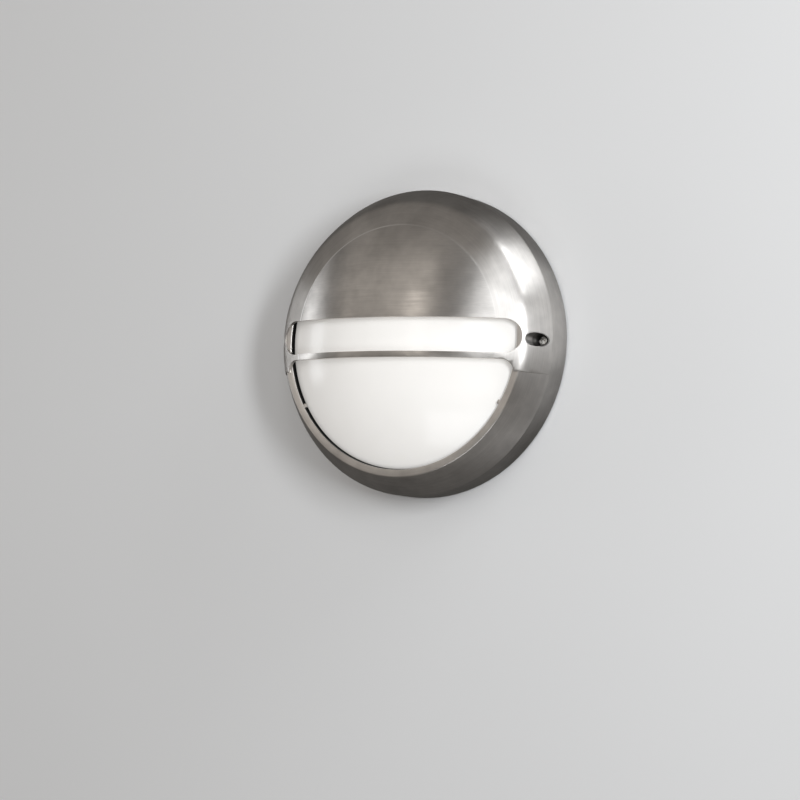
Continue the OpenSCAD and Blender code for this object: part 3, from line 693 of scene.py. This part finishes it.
def coverWells():
    s, aside = wells, hood["screwX"]
    section = [
        (s["bore"], s["low"], s["boreEdge"]), (s["radius"], s["low"], s["lowEdge"]),
        (s["radius"], s["top"], 0), (s["hole"], s["top"], 0),
        (s["hole"], s["seat"], s["seatEdge"]), (s["bore"], s["seat"], s["boreEdge"]),
    ]
    piece = turned("coverWells", roundedOutline(section), s["turns"])
    bm = edit(piece)
    for v in bm.verts:
        if v.co.y < -s["trimAbove"] * mm:
            radius = math.hypot(v.co.x / mm + aside, v.co.z / mm)
            v.co.y = -(hoodHeight(radius, 0) - s["underHood"]) * mm
    bmesh.update_edit_mesh(piece.data)
    objectMode()
    left = copied(piece, "coverWellLeft")
    for boss in (piece, left):
        boss.data.transform(Matrix.Translation((aside * mm, 0, 0)))
    left.data.transform(Matrix.Rotation(math.pi, 4, "Y"))
    joined("coverWells", piece, left)
    return dressed(smoothed(piece), "brushed_cover", "front_cover")


coverRing()
coverHood()
coverWells()
print("front cover made")

# opal glass: a shallow dome with a straight wall and a flange

glassDome = {
    "radius": 108.6, "top": 76.5, "ball": 210.96, "thick": 4, "domeEnd": 104, "innerShare": 0.96,
    "flangeLow": 34.5, "flangeHigh": 39.5, "flangeRadius": 114.5,
    "corner": 1.5, "flangeEdge": 0.5, "footEdge": 0.3, "innerCorner": 0.6, "cornerSteps": 5,
    "rings": 26, "turns": 160,
}


def glassHeight(radius, depth):
    s = glassDome
    return s["top"] - s["ball"] + math.sqrt((s["ball"] - depth) ** 2 - radius ** 2)


def opalGlass():
    s = glassDome
    inner, low, high = s["radius"] - s["thick"], s["flangeLow"], s["flangeHigh"]
    spread = [s["domeEnd"] * i / s["rings"] for i in range(s["rings"] + 1)]
    section = [
        *[(r, glassHeight(r, 0), 0) for r in spread],
        (s["radius"], glassHeight(s["radius"], 0), s["corner"]), (s["radius"], high, 0),
        (s["flangeRadius"], high, s["flangeEdge"]), (s["flangeRadius"], low, s["flangeEdge"]),
        (inner, low, s["footEdge"]), (inner, glassHeight(inner, s["thick"]), s["innerCorner"]),
        *[(r, glassHeight(r, s["thick"]), 0) for r in [r * s["innerShare"] for r in reversed(spread)]],
    ]
    piece = turned("opalGlass", roundedOutline(section, s["cornerSteps"]), s["turns"], closed=False)
    return dressed(smoothed(piece), "opal_glass", "opal_glass")


opalGlass()
print("opal glass made")

# cover screws: socket heads down the two wells

coverScrew = {
    "shank": 1.95, "tip": 5, "tipRadius": 1.4, "tipTaper": 0.6, "seat": 25, "underEdge": 0.2,
    "head": 3.5, "headHeight": 4, "rimDown": 0.45, "rimMiddle": 0.15, "rimIn": 0.5,
    "socket": 1.73, "socketDeep": 2.0, "socketSides": 6, "turns": 48,
}


def coverScrews():
    s, aside = coverScrew, hood["screwX"]
    head, seat, top = s["head"], s["seat"], s["seat"] + s["headHeight"]
    section = [
        (0, s["tip"]), (s["tipRadius"], s["tip"]), (s["shank"], s["tip"] + s["tipTaper"]), (s["shank"], seat),
        (head - s["underEdge"], seat), (head, seat + s["underEdge"]), (head, top - s["rimDown"]),
        (head - s["rimMiddle"], top - s["rimMiddle"]), (head - s["rimIn"], top), (0, top),
    ]
    piece = turned("coverScrews", section, s["turns"], closed=False)
    cutWith(piece, disc("socketCutter", s["socket"], 2 * s["socketDeep"], 0, -top, s["socketSides"]))
    left = copied(piece, "coverScrewLeft")
    piece.data.transform(Matrix.Translation((aside * mm, 0, 0)))
    left.data.transform(Matrix.Translation((-aside * mm, 0, 0)))
    joined("coverScrews", piece, left)
    return dressed(smoothed(piece), "cover_screw_steel", "cover_screws")


coverScrews()
print("cover screws made")

# backdrop, lamps and camera

studio = {
    "wallColour": (0.79, 0.785, 0.78), "wallUneven": (0.985, 1.015), "wallClouds": 3.0, "wallRoughness": 0.9,
    # painted reflection: the metal mirrors the wall dull, and pale in a band up along the right side
    "wallInMetal": ((0.10, 0.096, 0.092), (0.95, 0.95, 0.95)),
    "bandStart": (0.11, 0.15), "bandEnd": (0.20, 0.34), "bandRest": 0.25,
    "bandFoot": (-0.03, 0.03), "bandBelow": 0.42,
    "wallSize": 5.0,
    "wallGap": 0.0006,
    "openBehind": 0.124,
    "worldColour": (0.190, 0.180, 0.170),
    "lampDistance": 2.0,
    "lamps": [
        # name, degrees to the right, degrees up, size across, size up, power, colour
        ("keyLamp", 50, 7, 0.26, 1.0, 19, "cool"),
        ("frontLamp", 27, 32, 0.45, 1.0, 3.6, "cool"),
        ("lowLamp", 17, 12, 0.45, 1.0, 2.8, "cool"),
        ("highLamp", 78, 48, 0.6, 1.1, 12.5, "cool"),
        ("rightLamp", 90, 14, 0.3, 0.8, 2.2, "cool"),
        ("fillLamp", -33, 16, 1.7, 1.5, 2.5, "warm"),
        ("stripLamp", -14, 12, 0.3, 1.0, 0.9, "warm"),
        ("sideLamp", -73.5, 5, 0.35, 0.9, 2.6, "cool"),
        ("floorLamp", 10, -38, 1.4, 0.6, 5.0, "cool"),
    ],
    "cool": (0.93, 0.965, 1.0),
    "warm": (1.0, 0.94, 0.87),
}


def wallMaterial():
    s = studio
    material = bpy.data.materials.new("paleWall")
    tree, shader = nodeTree(material)
    place = added(tree, "TexCoord").outputs["Object"]
    cloud = noise(tree, place, s["wallClouds"])
    pale = shaded(tree, cloud, *[toned(s["wallColour"], k) for k in s["wallUneven"]])
    x, y, z = added(tree, "SeparateXYZ", None, Vector=place).outputs
    # painted reflection: only glossy rays see this band and the dull rest of the wall
    band = sums(tree, "MULTIPLY", ranged(tree, x, *s["bandStart"], 0.0, 1.0),
                ranged(tree, x, *s["bandEnd"], 1.0, s["bandRest"]))
    band = sums(tree, "MULTIPLY", band, ranged(tree, z, *s["bandFoot"], s["bandBelow"], 1.0))
    mirrored = shaded(tree, band, *[toned(c) for c in s["wallInMetal"]])
    seen = shaded(tree, added(tree, "LightPath").outputs["Is Glossy Ray"], pale, mirrored)
    tree.links.new(seen, shader.inputs["Base Color"])
    shader.inputs["Roughness"].default_value = s["wallRoughness"]
    # the wall has one face and is open right behind the light, so that the back can be looked at
    behind = sums(tree, "LESS_THAN", vectors(tree, "LENGTH", place), s["openBehind"])
    hidden = sums(tree, "MAXIMUM", added(tree, "NewGeometry").outputs["Backfacing"], behind)
    clear = added(tree, "BsdfTransparent").outputs[0]
    oneSided = added(tree, "MixShader", None, Fac=hidden, i1=shader.outputs[0], i2=clear)
    out = next(n for n in tree.nodes if n.type == "OUTPUT_MATERIAL")
    tree.links.new(oneSided.outputs[0], out.inputs[0])
    return material


def backdrop():
    s = studio
    bpy.ops.mesh.primitive_plane_add(size=s["wallSize"], location=(0, s["wallGap"], 0),
                                     rotation=(math.pi / 2, 0, 0))
    wall = named("backdrop")
    wall.data.materials.append(wallMaterial())
    wall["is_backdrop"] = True
    world = bpy.data.worlds.new("studio")
    scene.world = world
    world.use_nodes = True
    back = world.node_tree.nodes["Background"]
    back.inputs["Color"].default_value = toned(s["worldColour"])
    back.inputs["Strength"].default_value = 1.0


def held(name, data):
    holder = bpy.data.objects.new(name, data)
    scene.collection.objects.link(holder)
    return holder


def lamps():
    s = studio
    for name, aside, above, across, up, power, colour in s["lamps"]:
        aside, above = math.radians(aside), math.radians(above)
        level = math.cos(above)
        ahead = Vector((math.sin(aside) * level, -math.cos(aside) * level, math.sin(above)))
        lamp = bpy.data.lights.new(name, "AREA")
        lamp.shape = "RECTANGLE"
        lamp.size, lamp.size_y = across, up
        lamp.energy = power
        lamp.color = s[colour]
        holder = held(name, lamp)
        holder.location = s["lampDistance"] * ahead
        holder.rotation_euler = (-ahead).to_track_quat("-Z", "Y").to_euler()


view = {
    "turn": 30.2863, "tilt": 4.5665, "roll": 2.6032,    # degrees: to the right, from below, leaning
    "distance": 2784.95, "pixelsPerMm": 1.172625, "originAt": (431.681, 346.038), "frame": 800,
    "sensor": 36, "clip": (0.05, 50),
}


def camera():
    s = view
    turn, tilt, roll = (math.radians(s[k]) for k in ("turn", "tilt", "roll"))
    right = Vector((math.cos(turn), math.sin(turn), 0))
    ahead = Vector((-math.sin(turn) * math.cos(tilt), math.cos(turn) * math.cos(tilt), math.sin(tilt)))
    up = right.cross(ahead)
    rightRolled = math.cos(roll) * right + math.sin(roll) * up
    upRolled = -math.sin(roll) * right + math.cos(roll) * up
    across = (s["originAt"][0] - s["frame"] / 2) / s["pixelsPerMm"]
    above = -(s["originAt"][1] - s["frame"] / 2) / s["pixelsPerMm"]
    place = -(across * rightRolled + above * upRolled + s["distance"] * ahead) * mm
    data = bpy.data.cameras.new("camera")
    data.sensor_width = s["sensor"]
    data.lens = s["pixelsPerMm"] * s["distance"] * s["sensor"] / s["frame"]
    data.clip_start, data.clip_end = s["clip"]
    holder = held("camera", data)
    turnMatrix = Matrix((rightRolled, upRolled, -ahead)).transposed()
    holder.matrix_world = Matrix.Translation(place) @ turnMatrix.to_4x4()
    scene.camera = holder


backdrop()
lamps()
camera()
scene.view_settings.view_transform = "Standard"
print("backdrop, lamps and camera made")

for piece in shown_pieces():
    piece.select_set(False)
